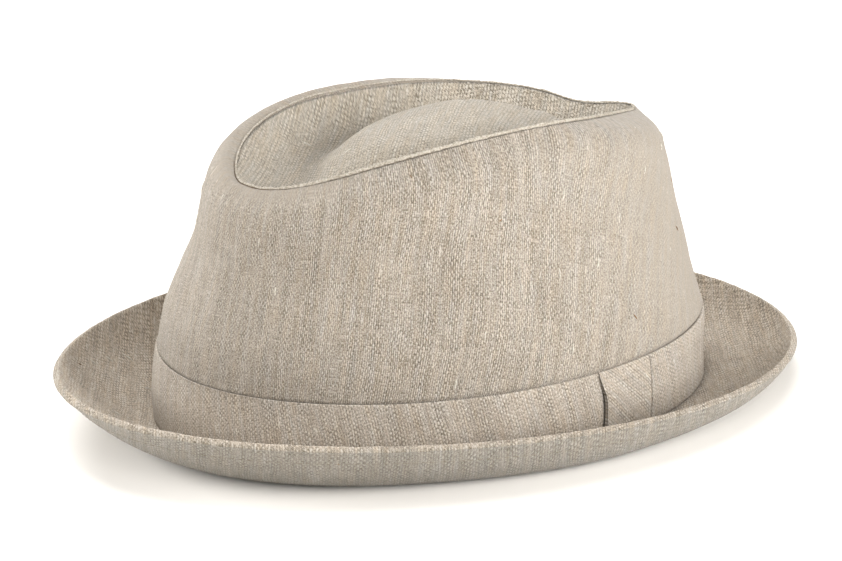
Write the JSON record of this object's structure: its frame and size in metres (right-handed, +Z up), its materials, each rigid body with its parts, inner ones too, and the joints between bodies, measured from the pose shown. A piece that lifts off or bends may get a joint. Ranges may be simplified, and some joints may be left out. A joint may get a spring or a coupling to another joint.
{
  "type": "trilby",
  "caption": "Linen trilby with a teardrop crown pinched at the front, a self-cloth hatband that ends at a slit beside a sewn tab, and a short brim curling up at the back.",
  "frame": {"origin": "middle of the bounding box at the bottom, on the plane the hat stands on", "axes": "+Z up, +X towards the narrow pinched end of the crown (the front), -Y the side with the hatband's joint"},
  "size_m": [0.2838, 0.2194, 0.1007],
  "materials": {
    "crown_cloth": "natural linen, plain weave with slubs, matt",
    "tip_cloth": "natural linen, plain weave, matt",
    "band_cloth": "natural linen cut on the bias, matt",
    "tab_cloth": "natural linen, plain weave, matt",
    "brim_cloth": "natural linen over a stiffened core, matt"
  },
  "bodies": {
    "root": {"crown_wall": "crown_cloth", "crown_tip": "tip_cloth", "hat_band": "band_cloth", "band_tab": "tab_cloth", "brim": "brim_cloth"}
  },
  "joints": []
}
